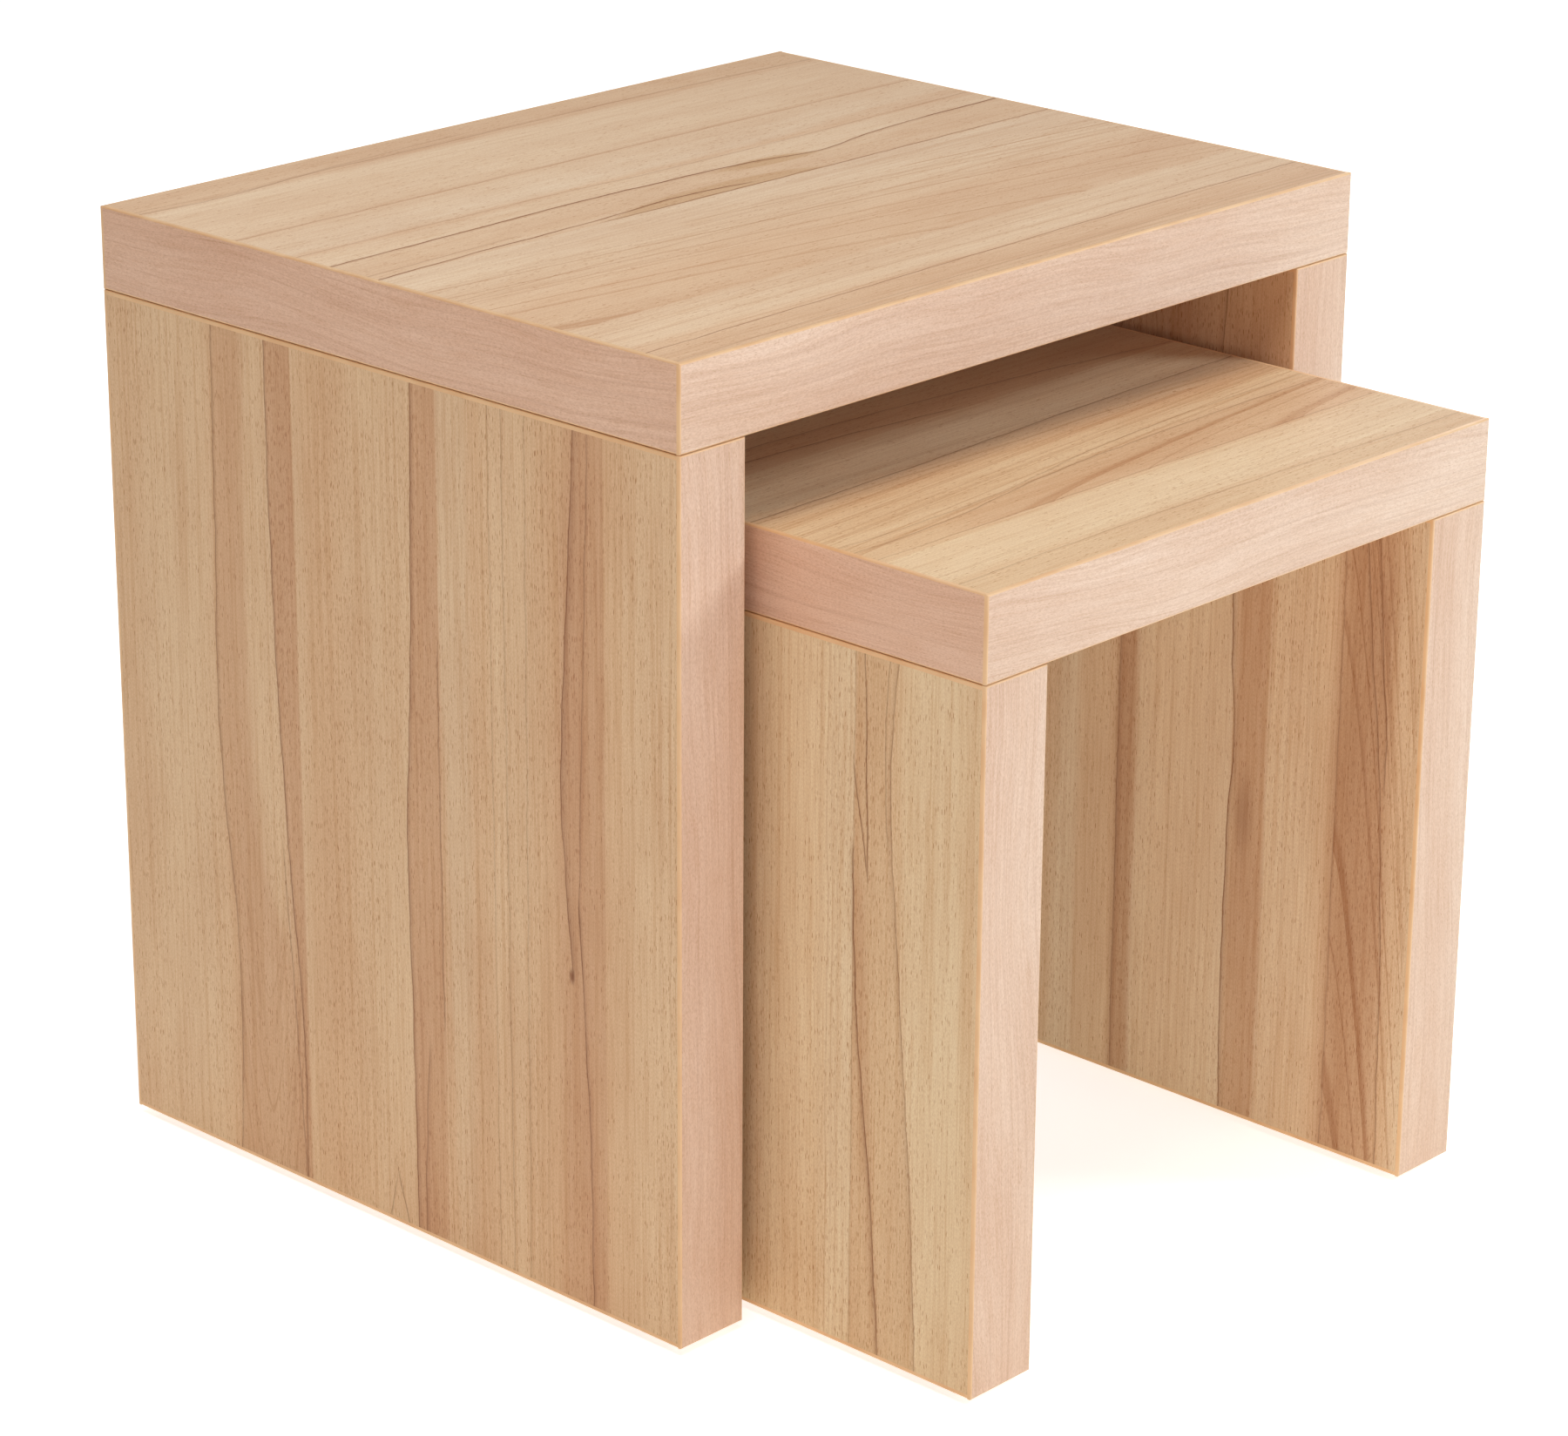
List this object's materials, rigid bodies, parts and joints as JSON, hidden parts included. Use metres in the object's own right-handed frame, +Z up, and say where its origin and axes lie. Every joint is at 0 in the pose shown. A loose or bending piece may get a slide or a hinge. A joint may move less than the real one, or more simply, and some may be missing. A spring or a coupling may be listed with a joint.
{
  "type": "nesting tables",
  "caption": "Two open side tables of thick edge-banded boards; the smaller stands inside the larger and slides out to the front.",
  "frame": {"origin": "on the floor, under the middle of the box around both tables with the small one pulled out to its rest pose", "axes": "+Z up, -Y to the open front where the small table comes out, +X to the right seen from the front"},
  "size_m": [0.44, 0.4792, 0.441],
  "materials": {
    "beech_board": "satin beech-grain decor on a board core",
    "edge_band": "satin, printed with a fine wood grain",
    "dowel_wood": "bare turned beech",
    "glide_plastic": "smooth moulded plastic"
  },
  "bodies": {
    "large_table": {"large_top_board": "beech_board", "large_left_board": "beech_board", "large_right_board": "beech_board", "large_top_band_front": "edge_band", "large_top_band_back": "edge_band", "large_top_band_left": "edge_band", "large_top_band_right": "edge_band", "large_left_band_front": "edge_band", "large_left_band_back": "edge_band", "large_left_band_upper": "edge_band", "large_left_band_lower": "edge_band", "large_right_band_front": "edge_band", "large_right_band_back": "edge_band", "large_right_band_upper": "edge_band", "large_right_band_lower": "edge_band", "large_left_dowel_1": "dowel_wood", "large_left_dowel_2": "dowel_wood", "large_left_dowel_3": "dowel_wood", "large_left_dowel_4": "dowel_wood", "large_right_dowel_1": "dowel_wood", "large_right_dowel_2": "dowel_wood", "large_right_dowel_3": "dowel_wood", "large_right_dowel_4": "dowel_wood", "large_left_glide_front": "glide_plastic", "large_left_glide_back": "glide_plastic", "large_right_glide_front": "glide_plastic", "large_right_glide_back": "glide_plastic"},
    "small_table": {"small_top_board": "beech_board", "small_left_board": "beech_board", "small_right_board": "beech_board", "small_top_band_front": "edge_band", "small_top_band_back": "edge_band", "small_top_band_left": "edge_band", "small_top_band_right": "edge_band", "small_left_band_front": "edge_band", "small_left_band_back": "edge_band", "small_left_band_upper": "edge_band", "small_left_band_lower": "edge_band", "small_right_band_front": "edge_band", "small_right_band_back": "edge_band", "small_right_band_upper": "edge_band", "small_right_band_lower": "edge_band", "small_left_dowel_1": "dowel_wood", "small_left_dowel_2": "dowel_wood", "small_left_dowel_3": "dowel_wood", "small_left_dowel_4": "dowel_wood", "small_right_dowel_1": "dowel_wood", "small_right_dowel_2": "dowel_wood", "small_right_dowel_3": "dowel_wood", "small_right_dowel_4": "dowel_wood", "small_left_glide_front": "glide_plastic", "small_left_glide_back": "glide_plastic", "small_right_glide_front": "glide_plastic", "small_right_glide_back": "glide_plastic"}
  },
  "joints": [
    {"name": "small_table_slide", "type": "slide", "parent": "large_table", "child": "small_table", "axis": [0, -1, 0], "range_m": [-0.1193, 0.26]}
  ]
}
